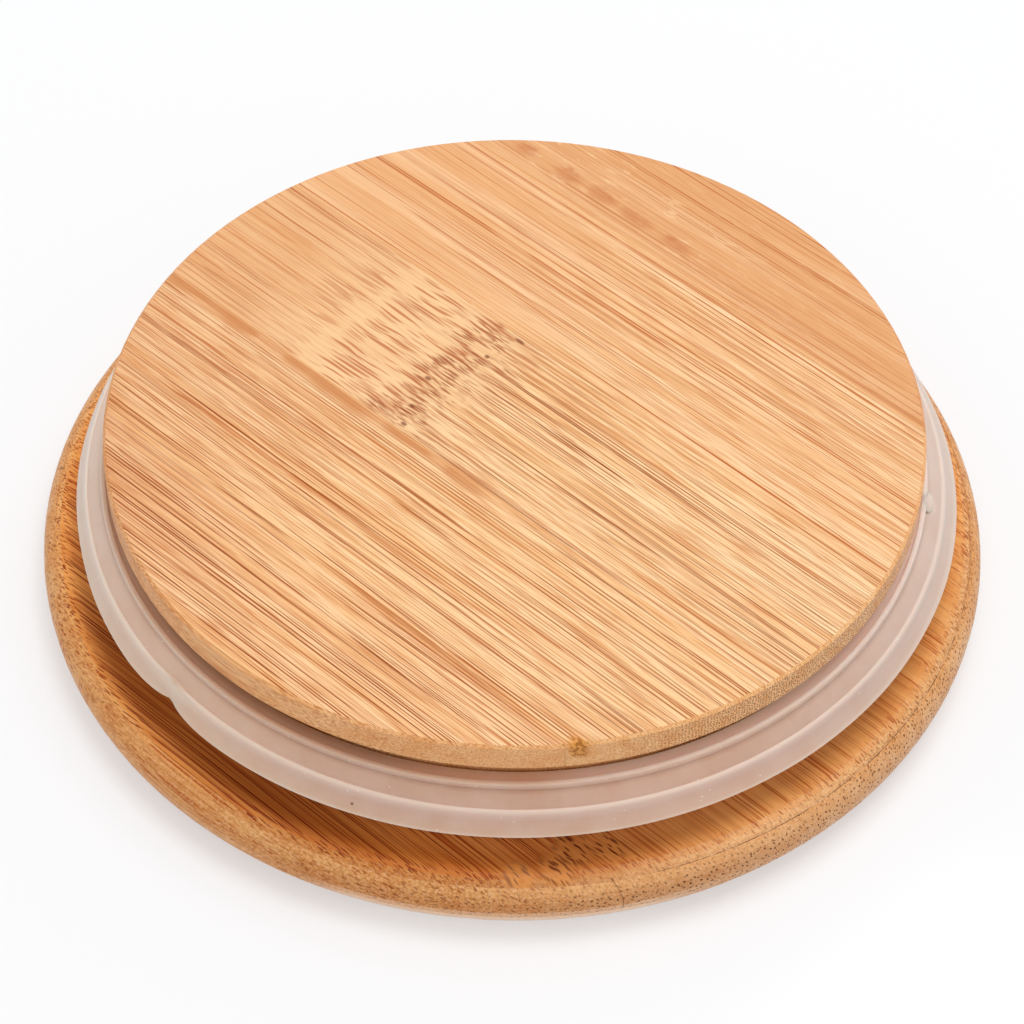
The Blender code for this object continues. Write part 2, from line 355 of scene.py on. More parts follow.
# Blurred knots and pale flecks in the strip at the back
BACK_KNOTS = (((-26.4, 30.9), (2.0, 1.0)), ((-20.5, 31.0), (2.6, 1.4)), ((-15.5, 31.1), (2.6, 1.4)),
              ((-10.4, 31.0), (3.0, 1.3)), ((-4.6, 30.8), (2.8, 1.1)))
BACK_WARP, BACK_WARP_SCALE = 1.8, (0.45, 0.9, 0.0)
BACK_KNOT_RANGE, BACK_KNOT_SHADE = (0.25, 0.6, 0.9, 0.5), (204, 128, 82)
BACK_PALE, BACK_PALE_SIZE = (-16.0, 33.0), (26.0, 5.5)
BACK_PALE_RANGE = (0.42, 0.62)
BACK_FLECKS = (4.0, 0.7, 0.5)
BACK_FLECK_RANGE, BACK_FLECK_SHADE = (0.0, 0.6, 0.12, 0.5), (250, 205, 158)

# The thin broken line in the glue round the rim, and the dark upright joint below it
CRACK_HEIGHT, CRACK_RANGE = 6.3, (0.07, 0.03)
CRACK_SCALE, CRACK_BROKEN_RANGE = (0.35, 0.35, 0.0), (0.40, 0.56, 0.0, 0.85)
CRACK_REACH, CRACK_SHADE = (36.0, 46.0), (96, 50, 22)
UPRIGHT_PLACE, UPRIGHT_RANGE = -28.6, (0.06, 0.03)
UPRIGHT_HEIGHTS = (2.6, 3.8)
UPRIGHT_STRENGTH, UPRIGHT_SHADE = 0.9, (70, 32, 12)


def camera():
    """The photograph's camera."""
    data = bpy.data.cameras.new("camera")
    data.sensor_width = SENSOR_WIDTH
    data.lens = LENS
    data.clip_start, data.clip_end = CAMERA_REACH
    eye = bpy.data.objects.new("camera", data)
    bpy.context.collection.objects.link(eye)
    flat = math.cos(CAMERA_ELEVATION) * CAMERA_DISTANCE
    place = Vector((flat * math.sin(CAMERA_AZIMUTH), -flat * math.cos(CAMERA_AZIMUTH),
                    math.sin(CAMERA_ELEVATION) * CAMERA_DISTANCE - CAMERA_DROP))
    turn = Matrix.Rotation(CAMERA_AZIMUTH - CAMERA_YAW, 4, "Z")
    tilt = Matrix.Rotation(math.pi / 2 - CAMERA_PITCH, 4, "X")
    roll = Matrix.Rotation(CAMERA_ROLL, 4, "Z")
    eye.matrix_world = Matrix.Translation(place) @ turn @ tilt @ roll
    bpy.context.scene.camera = eye


class Graph:
    """A shader's node tree, known as g below, with short calls that each add a node and give its output."""

    def __init__(self, tree):
        self.tree = tree

    def node(self, kind, inputs=(), out=0, **settings):
        """Adds a node and gives the output that out names, or the node itself if out is None."""
        node = self.tree.nodes.new(kind)
        for name, value in settings.items():
            setattr(node, name, value)
        for key, value in dict(inputs).items():
            self.put(node.inputs[key], value)
        return node.outputs[out] if out is not None else node

    def put(self, socket, value):
        """Links an output to a socket, or sets the socket to a plain value."""
        if isinstance(value, bpy.types.NodeSocket):
            self.tree.links.new(value, socket)
        else:
            socket.default_value = value

    def math(self, operation, *values):
        return self.node("ShaderNodeMath", dict(enumerate(values)), operation=operation)

    def add(self, a, b):
        return self.math("ADD", a, b)

    def sub(self, a, b):
        return self.math("SUBTRACT", a, b)

    def mul(self, a, b):
        return self.math("MULTIPLY", a, b)

    def size(self, value):
        """A value without its sign."""
        return self.math("ABSOLUTE", value)

    def fade(self, value, low, high, to_low=0.0, to_high=1.0):
        """Smoothly from to_low at low to to_high at high."""
        return self.node("ShaderNodeMapRange", {"Value": value, "From Min": low, "From Max": high,
                                                "To Min": to_low, "To Max": to_high},
                         interpolation_type="SMOOTHSTEP")

    def vector(self, x, y, z=0.0):
        return self.node("ShaderNodeCombineXYZ", {0: x, 1: y, 2: z})

    def split(self, vector):
        node = self.node("ShaderNodeSeparateXYZ", {0: vector}, out=None)
        return node.outputs[0], node.outputs[1], node.outputs[2]

    def scaled(self, vector, scale):
        return self.node("ShaderNodeVectorMath", {0: vector, 1: scale}, operation="MULTIPLY")

    def distance(self, a, b):
        return self.node("ShaderNodeVectorMath", {0: a, 1: b}, out="Value", operation="DISTANCE")

    def place(self, unit=MM):
        """The point's place in the lid's own coordinates, in a unit given in metres."""
        return self.scaled(self.node("ShaderNodeTexCoord", out="Object"), (1 / unit,) * 3)

    def noise(self, vector, scale, detail=1.0, rough=0.5):
        """Noise from 0 to 1."""
        return self.node("ShaderNodeTexNoise", {"Vector": self.scaled(vector, scale), "Scale": 1.0,
                                                "Detail": detail, "Roughness": rough})

    def cells(self, vector, scale, scatter=1.0, dims="2D"):
        """Scattered points: the distance to the nearest one and three random numbers of its own."""
        node = self.node("ShaderNodeTexVoronoi", {"Vector": self.scaled(vector, scale), "Scale": 1.0,
                                                  "Randomness": scatter}, out=None, voronoi_dimensions=dims)
        return node.outputs["Distance"], self.split(node.outputs["Color"])

    def mix(self, mask, a, b, blend="MIX"):
        """Colour a where the mask is 0 or less, and the blend of a and b where it is 1 or more."""
        node = self.node("ShaderNodeMix", out=None, data_type="RGBA", blend_type=blend)
        for socket, value in zip((0, 6, 7), (mask, a, b)):
            self.put(node.inputs[socket], value)
        return node.outputs[2]

    def over(self, colour, mask, shade):
        """Lays a shade over a colour."""
        return self.mix(mask, colour, (*srgb(*shade), 1))

    def tinted(self, colour, mask, tint):
        """Multiplies a colour by a tint."""
        return self.mix(mask, colour, (*tint, 1), "MULTIPLY")

    def ramp(self, value, stops):
        """A colour by a value from 0 to 1, from stops of a place and a linear colour."""
        node = self.node("ShaderNodeValToRGB", {0: value}, out=None)
        ramp = node.color_ramp
        while len(ramp.elements) < len(stops):
            ramp.elements.new(0.5)
        for element, (place, colour) in zip(ramp.elements, stops):
            element.position = place
            element.color = (*colour, 1)
        return node.outputs[0]


def srgb(red, green, blue):
    """Linear colour from 8-bit sRGB."""
    shares = (value / 255 for value in (red, green, blue))
    return tuple(share / 12.92 if share < 0.04045 else ((share + 0.055) / 1.055) ** 2.4 for share in shares)


def new_material(name):
    """A material with its graph and its shader."""
    material = bpy.data.materials.new(name)
    material.use_nodes = True
    return material, Graph(material.node_tree), material.node_tree.nodes["Principled BSDF"]


def bump(g, shader, height, strength):
    """Roughens a shader's surface by a height."""
    g.put(shader.inputs["Normal"],
          g.node("ShaderNodeBump", {"Height": height, "Strength": strength, "Distance": BUMP_DEPTH * MM}))


def from_axis(g, place):
    """Distance from the lid's axis."""
    x, y, _ = g.split(place)
    return g.math("SQRT", g.add(g.mul(x, x), g.mul(y, y)))


def towards(g, place, angle):
    """Distance from the axis in a direction round it."""
    x, y, _ = g.split(place)
    return g.add(g.mul(x, math.cos(angle)), g.mul(y, math.sin(angle)))


def drifted(g, place, seed):
    """A place in a strip's own pattern. Bundles drift across and through it, so a cut shows each in part."""
    x, y, z = g.split(place)
    shift = g.mul(seed, STRIP_STEP)
    x = g.add(x, shift)
    sway = g.noise(g.vector(x, y, z), SWAY_SCALE)
    rise = g.noise(g.vector(x, y, g.add(shift, RISE_STEP)), RISE_SCALE)
    side = g.add(g.add(y, shift), g.mul(sway, SWAY))
    depth = g.add(g.add(z, g.mul(x, CLIMB)), g.mul(rise, RISE))
    return x, side, depth


def bundles(g, x, side, depth, pitch, thinnest, thickest, pace):
    """Scattered bundles: the distance to the nearest, its radius in pitches and its strength at a place."""
    distance, pick = g.cells(g.vector(side, depth), (1 / pitch,) * 3)
    radius = g.fade(pick[0], 0.0, 1.0, thinnest / pitch, thickest / pitch)
    along = g.noise(g.vector(x, pick[1]), (pace, BUNDLE_STEP, 0.0))
    own = g.fade(pick[2], 0.0, 1.0, WEAKEST_BUNDLE, 1.0)
    return distance, radius, g.mul(own, g.fade(along, *BUNDLE_ALONG_RANGE))


def spot(g, distance, radius, shares):
    """Mask of a bundle, which ends between two shares of its radius."""
    inner, outer = shares
    return g.fade(distance, g.mul(radius, inner), g.mul(radius, outer), 1.0, 0.0)


def lie_of_face(g, normal, mesh):
    """Masks of faces across the fibres, of rough cuts, of faces square to +X and of faces along fibres."""
    across = g.fade(g.size(normal[0]), *ACROSS_RANGE)
    turned_away = g.fade(g.size(normal[2]), *TURNED_RANGE)
    cut = g.math("MAXIMUM", across, g.mul(turned_away, TURNED_STRENGTH))
    smooth_side = g.sub(1.0, g.mul(g.mul(cut, mesh), SMOOTH_SIDE_STRENGTH))
    along = g.mul(g.fade(g.size(normal[0]), *ALONG_RANGE), smooth_side)
    return across, cut, g.fade(normal[0], *SQUARE_RANGE), along


def gritty(g, colour, place, normal, rough, square_on):
    """Pale and dark grit on rough cuts, less on those that face +X squarely or face -X."""
    away = g.add(g.mul(square_on, GRIT_SQUARE_LOSS), g.fade(normal[0], *GRIT_BACK_RANGE))
    rough = g.mul(rough, g.sub(GRIT_STRENGTH, away))
    grit = g.noise(place, GRIT_SCALE, 2, 0.6)
    for reach, shade in GRITS:
        colour = g.over(colour, g.mul(rough, g.fade(grit, *reach)), shade)
    return colour


def rim_tones(g, colour, place, normal, pores):
    """The rounded rim in front, with painted light: a pale highlight above, a painted shade below and a
    painted reflection of the table at its foot.
    """
    right, ahead = (g.mul(towards(g, place, angle), 1 / FLANGE_RADIUS) for angle in (GLEAM_TOWARDS, FRONT))
    gleam, trough_shade = (g.mul(g.fade(normal[2], *start), g.fade(normal[2], *end))
                     for start, end in (GLEAM_RANGES, TROUGH_SHADE_RANGES))
    gleam = g.mul(gleam, g.fade(right, *GLEAM_SHARES))
    colour = g.over(colour, g.mul(g.mul(gleam, pores), GLEAM_STRENGTH), GLEAM_SHADE)
    trough_shade = g.mul(trough_shade, g.fade(ahead, *TROUGH_SHADE_SHARES))
    colour = g.tinted(colour, g.mul(trough_shade, pores), TROUGH_SHADE_TINT)
    foot = g.mul(g.fade(normal[2], *FOOT_REFLECTION_RANGE), g.fade(ahead, *FOOT_REFLECTION_SHARES))
    return g.over(colour, g.mul(g.mul(foot, pores), FOOT_REFLECTION_STRENGTH), FOOT_REFLECTION_SHADE)


def bamboo_group():
    """Bamboo as a solid pattern: bundles of fibres along X, seen as streaks, or as dots on cut ends."""
    tree = bpy.data.node_groups.new("bamboo", "ShaderNodeTree")
    for way, kind, names in (("INPUT", "Vector", ("Vector",)),
                             ("INPUT", "Float", ("Seed", "Bold", "Fine", "Thread", "Dark", "Pores", "Mesh")),
                             ("INPUT", "Color", ("Tone", "Ends")),
                             ("OUTPUT", "Color", ("Color",)),
                             ("OUTPUT", "Float", ("Height", "Rough"))):
        for name in names:
            tree.interface.new_socket(name, in_out=way, socket_type=f"NodeSocket{kind}")
    g = Graph(tree)
    given = g.node("NodeGroupInput", out=None).outputs
    place, threads, pores, mesh = (given[name] for name in ("Vector", "Thread", "Pores", "Mesh"))
    normal = g.split(g.node("ShaderNodeTexCoord", out="Normal"))
    across, cut, square_on, with_grain = lie_of_face(g, normal, mesh)

    # Bundles, fine fibres and bands
    x, side, depth = drifted(g, place, given["Seed"])
    here = g.vector(x, side, depth)
    band = g.noise(here, BAND_SCALE, 2, 0.55)
    fibre = g.fade(g.noise(here, FIBRE_SCALE, 1, 0.6), *FIBRE_RANGE)
    deeper = g.vector(x, side, g.add(depth, SMALL_CROWD_STEP))
    bold_crowd = g.fade(g.noise(here, BOLD_CROWD_SCALE), *BOLD_CROWD_RANGE)
    small_crowd = g.fade(g.noise(deeper, SMALL_CROWD_SCALE), *SMALL_CROWD_RANGE)
    bold, bold_radius, bold_strength = bundles(g, x, side, depth, *BOLD_BUNDLES)
    small, small_radius, small_strength = bundles(g, x, side, depth, *SMALL_BUNDLES)
    cord = g.mul(g.mul(spot(g, bold, bold_radius, SPOT_SHARES), bold_strength),
                 g.fade(bold_crowd, 0.0, 1.0, SPARSE_STRENGTH, 1.0))
    thread = g.mul(g.mul(spot(g, small, small_radius, SPOT_SHARES), small_strength),
                   g.fade(small_crowd, 0.0, 1.0, SPARSE_STRENGTH, 1.0))

    # Faces along the fibres
    ground = [(level, srgb(*shade)) for level, shade in GROUND_SHADES]
    colour = g.ramp(g.add(g.fade(band, *BAND_RANGE), given["Dark"]), ground)
    colour = g.over(colour, g.mul(g.mul(fibre, given["Fine"]), FIBRE_STRENGTH), FIBRE_SHADE)
    colour = g.mix(cut, colour, given["Ends"], "MULTIPLY")
    colour = g.tinted(colour, g.mul(g.mul(cut, pores), square_on), SQUARE_CUT_TINT)
    colour = g.over(colour, g.mul(g.mul(thread, threads), with_grain), THREAD_SHADE)
    colour = g.over(colour, g.mul(g.mul(cord, given["Bold"]), with_grain), CORD_SHADE)
    colour = g.over(colour, g.mul(g.sub(threads, 1.0), g.mul(thread, with_grain)), DEEP_THREAD_SHADE)

    # Cut ends: a net of dots, painted light on the plug's shaded underside, a rough grit and pores
    knots, _ = g.cells(g.vector(side, depth), (1 / NET_PITCH,) * 3, NET_SCATTER)
    square_end = g.mul(across, g.fade(normal[0], *NET_SQUARE_RANGE))
    colour = g.over(colour, g.mul(g.fade(knots, *NET_RANGE), g.mul(square_end, mesh)), NET_SHADE)
    colour = g.mix(1.0, colour, given["Tone"], "MULTIPLY")
    under_plug_light = g.mul(g.fade(normal[2], *UNDERSIDE_LIGHT_RANGE), g.fade(g.split(place)[2], *UNDERSIDE_LIGHT_HEIGHTS))
    colour = g.over(colour, g.mul(under_plug_light, UNDERSIDE_LIGHT_STRENGTH), UNDERSIDE_LIGHT_SHADE)
    colour = gritty(g, colour, place, normal, g.mul(cut, pores), square_on)
    pore = g.mul(spot(g, bold, bold_radius, MIDDLE_SHARES), g.fade(bold_strength, *PORE_RANGE))
    pore = g.mul(pore, g.mul(across, pores))
    colour = g.over(colour, g.mul(pore, g.add(0.5, g.mul(square_on, 0.5))), PORE_SHADE)
    # The rim's painted highlight, painted shade and painted reflection of the table
    colour = rim_tones(g, colour, place, normal, pores)

    g.node("NodeGroupOutput", {"Color": colour, "Height": g.mul(cord, -1.0),
                               "Rough": g.fade(band, *WOOD_ROUGHNESS_RANGE)}, out=None)
    return tree


BAMBOO = bamboo_group()


def bamboo(name, seed, bold, fine, tone, pores, ends, thread=None, dark=0.0, mesh=0.0, calm=None, marks=None):
    """A strip's material, with the strengths of its bold bundles, fine fibres and threads, its tints, and how
    far its ends show pores and a net. Calm gives two places along the strip between which its fine lines grow
    from a share to full strength and a tint fades away. Marks may lay further features over the colour."""
    material, g, shader = new_material(name)
    place = g.place()
    tone = (*tone, 1)
    thread = fine if thread is None else thread
    if calm:
        low, high, share, tint = calm
        along = g.split(place)[0]
        fine, thread = (g.fade(along, low, high, weight * share, weight) for weight in (fine, thread))
        tone = g.mix(g.fade(along, high, low), tone, tuple(a * b for a, b in zip(tone, (*tint, 1))))
    wood = g.node("ShaderNodeGroup", out=None, node_tree=BAMBOO)
    for key, value in dict(Vector=place, Seed=seed, Bold=bold, Fine=fine, Thread=thread, Dark=dark, Tone=tone,
                           Pores=pores, Mesh=mesh, Ends=(*ends, 1)).items():
        g.put(wood.inputs[key], value)
    colour = wood.outputs["Color"]
    if marks:
        colour = marks(g, place, colour)
    g.put(shader.inputs["Base Color"], colour)
    g.put(shader.inputs["Roughness"], wood.outputs["Rough"])
    shader.inputs["Specular IOR Level"].default_value = WOOD_GLOSS
    bump(g, shader, wood.outputs["Height"], WOOD_BUMP)
    return material


def near(g, place, point, size):
    """Mask of a soft upright column of elliptic section round a point seen from above."""
    away = g.node("ShaderNodeVectorMath", {0: place, 1: (*point, 0)}, operation="SUBTRACT")
    flat = g.scaled(away, (1 / size[0], 1 / size[1], 0))
    reach = g.node("ShaderNodeVectorMath", {0: flat}, out="Value", operation="LENGTH")
    return g.fade(reach, *ELLIPSE_SHARES)


def dashes(g, x, y, length, pitch, share):
    """Mask of short strokes along the grain, one in each cell for a share of the cells."""
    distance, pick = g.cells(g.vector(x, y), (1 / length, 1 / pitch, 0.0))
    reach = g.fade(pick[1], 0.0, 1.0, *STROKE_SHARES)
    stroke = g.fade(distance, reach, g.mul(reach, STROKE_CORE_SHARE))
    return g.mul(stroke, g.fade(pick[0], 1.0 - share, 1.0 - share + STROKE_PICK))


def wandering(g, place, y, width, scale):
    """The place across the grain, with a slow wander."""
    return g.add(y, g.mul(g.noise(place, scale), width))


def knuckle(g, place, colour):
    """The culm's knuckle, which crosses the middle strip of the plug."""
    x, y, _ = g.split(place)
    warp = g.noise(place, KNUCKLE_WARP_SCALE, 2, 0.6)
    reach = g.add(g.add(x, KNUCKLE_PLACE), g.mul(g.sub(warp, 0.5), KNUCKLE_WARP))
    left, right, right_end = (g.fade(reach, *KNUCKLE_SIDES[side]) for side in ("left", "right", "right_end"))
    close, inner, core = (g.fade(g.size(reach), *KNUCKLE_SIDES[side]) for side in ("close", "inner", "core"))
    pale = g.mul(g.fade(g.add(x, g.mul(warp, KNUCKLE_PALE_WARP)), *KNUCKLE_PALE_RANGE), left)
    cream = g.fade(g.noise(place, CREAM_SCALE, 2), *CREAM_RANGE)
    palest = g.math("MAXIMUM", pale, g.mul(close, KNUCKLE_CLOSE_STRENGTH))
    colour = g.over(colour, g.mul(g.mul(palest, cream), CREAM_STRENGTH), CREAM_SHADE)
    parts = dict(pale=pale, right=g.mul(right, right_end), close=close, inner=inner)
    wander = wandering(g, place, y, KNUCKLE_WANDER, KNUCKLE_WANDER_SCALE)
    for along, across, length, pitch, share, part, strength, shade in KNUCKLE_STROKES:
        stroke = dashes(g, g.add(x, along), g.add(wander, across), length, pitch, share)
        colour = g.over(colour, g.mul(g.mul(stroke, parts[part]), strength), shade)
    patch = g.fade(g.noise(place, PATCH_SCALE), *PATCH_RANGE)
    stain = g.mul(g.mul(core, patch), g.fade(g.noise(place, STAIN_SCALE, 2, 0.6), *STAIN_RANGE))
    colour = g.over(colour, stain, STAIN_SHADE)
    for point, size in KNUCKLE_HOLES:
        colour = g.over(colour, g.mul(near(g, place, point, size), HOLE_STRENGTH), HOLE_SHADE)
    return colour


def stain_and_knot(g, place, colour):
    """A soft orange band along the joint beside the knuckle, and a small knot on the plug's front edge."""
    x, y, z = g.split(place)
    width = g.fade(g.noise(g.vector(x, ORANGE_WIDTH_LEVEL), ORANGE_WIDTH_SCALE), *ORANGE_WIDTH_RANGE)
    band = g.fade(g.sub(ORANGE_JOINT, y), g.mul(width, ORANGE_CORE_SHARE), width, 1.0, 0.0)
    broken = g.fade(g.noise(g.vector(x, ORANGE_RUN_LEVEL), ORANGE_RUN_SCALE), *ORANGE_RUN_RANGE)
    run = g.mul(g.fade(x, *ORANGE_REACH), broken)
    colour = g.over(colour, g.mul(g.mul(band, run), ORANGE_STRENGTH), ORANGE_SHADE)
    glow = g.mul(near(g, place, EDGE_KNOT, EDGE_KNOT_SIZE), g.fade(z, *EDGE_KNOT_HEIGHTS))
    colour = g.over(colour, g.mul(glow, EDGE_KNOT_STRENGTH), EDGE_KNOT_SHADE)
    fleck = g.fade(g.noise(place, FLECK_SCALE), *FLECK_RANGE)
    return g.over(colour, g.mul(g.mul(glow, fleck), FLECK_STRENGTH), FLECK_SHADE)


def flange_shade_and_knots(g, place, colour):
    """Painted shade in the flange's face, a band round the ring and a darker run on the near left, and knotted
    strokes beside the plug.
    """
    x, y, _ = g.split(place)
    radius = from_axis(g, place)
    # Painted shade: a band round the ring and a darker run on the near left
    deep_shade = g.mul(g.fade(radius, *DEEP_SHADE_RADII), g.mul(g.fade(x, *DEEP_SHADE_START), g.fade(x, *DEEP_SHADE_END)))
    colour = g.tinted(colour, g.mul(deep_shade, g.fade(radius, *DEEP_SHADE_OUTER_RADII)), DEEP_SHADE_TINT)
    run = g.mul(near(g, place, SHADED_RUN, SHADED_RUN_SIZE), g.fade(radius, *SHADED_RUN_RADII))
    colour = g.tinted(colour, g.mul(run, SHADED_RUN_STRENGTH), SHADED_RUN_TINT)
    wander = wandering(g, place, y, KNOT_WANDER, KNOT_WANDER_SCALE)
    for point, size, shade in FLANGE_KNOTS:
        spread = near(g, place, point, size)
        colour = g.over(colour, g.mul(spread, KNOT_STRENGTH), KNOT_SHADE)
        for along, across, length, pitch, share in KNOT_STROKES:
            stroke = dashes(g, g.add(x, along), g.add(wander, across), length, pitch, share)
            colour = g.over(colour, g.mul(stroke, spread), shade)
    return colour


def back_knots(g, place, colour):
    """A row of blurred knots and pale flecks in the strip at the back."""
    x, y, _ = g.split(place)
    warp = g.noise(place, BACK_WARP_SCALE, 2, 0.6)
    across = g.add(y, g.mul(g.sub(warp, 0.5), BACK_WARP))
    bent = g.vector(x, across)
    pale = g.mul(near(g, bent, BACK_PALE, BACK_PALE_SIZE), g.fade(warp, *BACK_PALE_RANGE))
    flecks = g.mul(dashes(g, x, across, *BACK_FLECKS), g.fade(pale, *BACK_FLECK_RANGE))
    colour = g.over(colour, flecks, BACK_FLECK_SHADE)
    for point, size in BACK_KNOTS:
        knot = g.mul(near(g, bent, point, size), g.fade(warp, *BACK_KNOT_RANGE))
        colour = g.over(colour, knot, BACK_KNOT_SHADE)
    return colour


def crack(g, place, colour):
    """A thin dark broken line in the glue round the rim, clearest at the +X ends, and an upright one."""
    x, y, z = g.split(place)
    line = g.fade(g.size(g.sub(z, CRACK_HEIGHT)), *CRACK_RANGE)
    broken = g.fade(g.noise(place, CRACK_SCALE, 3, 0.7), *CRACK_BROKEN_RANGE)
    colour = g.over(colour, g.mul(g.mul(line, broken), g.fade(x, *CRACK_REACH)), CRACK_SHADE)
    upright = g.mul(g.fade(g.size(g.sub(y, UPRIGHT_PLACE)), *UPRIGHT_RANGE), g.fade(z, *UPRIGHT_HEIGHTS))
    return g.over(colour, g.mul(upright, UPRIGHT_STRENGTH), UPRIGHT_SHADE)


def core_film(g, place, colour):
    """The marks of the core's glue film: its cracks, and the painted shade and knots that it shares with the
    flange's face.
    """
    return flange_shade_and_knots(g, place, crack(g, place, colour))


def strip_looks():
    """The look of each strip, by its ply."""
    cover = dict(bold=0.9, fine=0.8, dark=0.25, tone=(0.945, 0.815, 0.65), pores=0.95, ends=COVER_ENDS)
    core = dict(bold=0.85, fine=0.6, thread=1.8, dark=0.25, tone=(0.985, 0.63, 0.285), pores=0.95,
                ends=(0.96, 1.20, 1.72), calm=CORE_CALM)
    knotted = dict(core, marks=flange_shade_and_knots)
    plug = dict(pores=0.1, mesh=1.0, ends=(0.99, 0.872, 0.735))
    plugs = [
        dict(plug, bold=0.80, fine=1.05, thread=1.6, tone=(0.97, 0.91, 0.87),
             calm=(-38, 10, 1.0, (0.87, 0.78, 0.75))),
        dict(plug, bold=0.65, fine=1.10, thread=1.45, tone=(0.985, 0.96, 0.93),
             calm=(-38, 6, 1.0, (0.91, 0.84, 0.82)), marks=stain_and_knot),
        dict(plug, bold=0.75, fine=1.20, thread=1.50, tone=(0.985, 0.995, 1.0),
             calm=(-38, 0, 0.45, (0.87, 0.72, 0.63)), marks=knuckle),
        dict(plug, bold=0.80, fine=1.0, dark=0.20, tone=(0.975, 0.96, 0.97),
             calm=(-36, 10, 0.3, (0.935, 0.84, 0.79))),
        dict(plug, bold=0.85, fine=0.5, dark=0.45, tone=(0.86, 0.73, 0.66), mesh=0.6, marks=back_knots),
    ]
    cores = [knotted] * KNOTTED_CORES + [core] * (STRIPS["core"] - KNOTTED_CORES)
    return {"cover": [cover] * STRIPS["cover"], "core": cores, "plug": plugs}


def film_looks():
    """The look of the glue films in each ply."""
    film = dict(bold=0.5, fine=0.8)
    return {"cover": dict(film, dark=0.3, tone=(0.88, 0.74, 0.56), pores=0.95, ends=COVER_ENDS, marks=crack),
            "core": dict(film, dark=0.3, tone=(0.93, 0.60, 0.28), pores=0.95, ends=(0.89, 1.05, 1.50),
                         marks=core_film, calm=CORE_CALM),
            "plug": dict(film, dark=0.35, tone=(0.97, 0.93, 0.87), pores=0.3, ends=(0.88, 0.76, 0.62))}


def dress_wood():
    """Gives each strip its own cut of bamboo."""
    for number, (ply, looks) in enumerate(strip_looks().items()):
        for index, look in enumerate(looks, 1):
            node = f"{ply}_strip_{index}"
            material = bamboo(f"bamboo_{node}", number * SEED_STEP + index, **look)
            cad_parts[node].data.materials.clear()
            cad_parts[node].data.materials.append(material)


def arc(centre, radius, start, end, steps):
    """Points of an arc in the profile plane."""
    angles = np.linspace(start, end, steps + 1)
    return [(centre[0] + radius * math.cos(a), centre[1] + radius * math.sin(a)) for a in angles]


def outline(inset):
    """The wood's turned outline from its outer face to the plug's face, drawn in by an inset."""
    quarter = math.pi / 2
    outer = (FLANGE_RADIUS - OUTER_ROUND, OUTER_ROUND)
    inner = (FLANGE_RADIUS - INNER_ROUND, OUTER_ROUND)
    points = arc(outer, OUTER_ROUND - inset, -quarter, 0, ROUND_STEPS)
    points += arc(inner, INNER_ROUND - inset, 0, quarter, ROUND_STEPS)[1:]
    neck, plug, top = NECK_RADIUS - inset, PLUG_RADIUS - inset, LID_HEIGHT - inset
    base = PLUG_BASE + inset
    points += [(neck, FLANGE_THICKNESS - inset), (neck, base), (plug - PLUG_CHAMFER, base),
               (plug, base + PLUG_CHAMFER), (plug, top - PLUG_CHAMFER), (plug - PLUG_CHAMFER, top)]
    return points


def turned(profile, steps, closed):
    """Spins a profile of (radius, height) points about Z."""
    shape = bmesh.new()
    corners = [shape.verts.new((r * MM, 0, z * MM)) for r, z in profile]
    edges = [shape.edges.new(pair) for pair in zip(corners, corners[1:])]
    if closed:
        edges.append(shape.edges.new((corners[-1], corners[0])))
    bmesh.ops.spin(shape, geom=corners + edges, axis=(0, 0, 1), cent=(0, 0, 0), angle=math.tau,
                   steps=steps, use_merge=True)
    bmesh.ops.edgeloop_fill(shape, edges=[edge for edge in shape.edges if edge.is_boundary])
    bmesh.ops.recalc_face_normals(shape, faces=shape.faces)
    return shape


def piece(name, shape, material):
    """Makes a bmesh a piece of the lid."""
    mesh = bpy.data.meshes.new(name)
    for face in shape.faces:
        face.smooth = True
    shape.to_mesh(mesh)
    shape.free()
    mesh.set_sharp_from_angle(angle=SHARP_ANGLE)
    mesh.materials.append(material)
    thing = bpy.data.objects.new(name, mesh)
    bpy.context.collection.objects.link(thing)
    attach(thing, "root")
    return thing


def saw(shape, point, keep):
    """Cuts a shape through a point and keeps the side that the direction keep points to."""
    parts = shape.verts[:] + shape.edges[:] + shape.faces[:]
    cut = bmesh.ops.bisect_plane(shape, geom=parts, plane_co=[c * MM for c in point], plane_no=keep,
                                 clear_inner=True)
    rim = [part for part in cut["geom_cut"] if isinstance(part, bmesh.types.BMEdge)]
    bmesh.ops.edgeloop_fill(shape, edges=rim)


def between(shape, axis, low, high):
    """Keeps the slice of a shape between two places on an axis. None stands for no cut."""
    for place, way in ((low, 1), (high, -1)):
        if place is not None:
            saw(shape, [place * part for part in axis], [way * part for part in axis])
    return shape


def glue_lines():
    """Fills the gaps between plies and between strips with thin films, a hair below the wood's surface."""
    blank = turned(outline(FILM_INSET), FILM_STEPS, False)
    core, plug = (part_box(f"{ply}_strip_{MIDDLE_STRIP}")[0].z / MM for ply in ("core", "plug"))
    for ply, base, top in (("cover", None, core - GLUE_LINE), ("core", core, plug - GLUE_LINE),
                           ("plug", plug, None)):
        joints = [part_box(f"{ply}_strip_{number}")[1].y / MM for number in range(1, STRIPS[ply])]
        films = [between(between(blank.copy(), (0, 1, 0), joint, joint + GLUE_LINE), (0, 0, 1), base, top)
                 for joint in joints]
        if base is not None:
            films.append(between(blank.copy(), (0, 0, 1), base - GLUE_LINE, base))
        whole = bmesh.new()
        for film in films:
            mesh = bpy.data.meshes.new("film")
            film.to_mesh(mesh)
            film.free()
            whole.from_mesh(mesh)
            bpy.data.meshes.remove(mesh)
        piece(f"glue_{ply}", whole, bamboo(f"glue_{ply}", FILM_SEED, **film_looks()[ply]))
    blank.free()


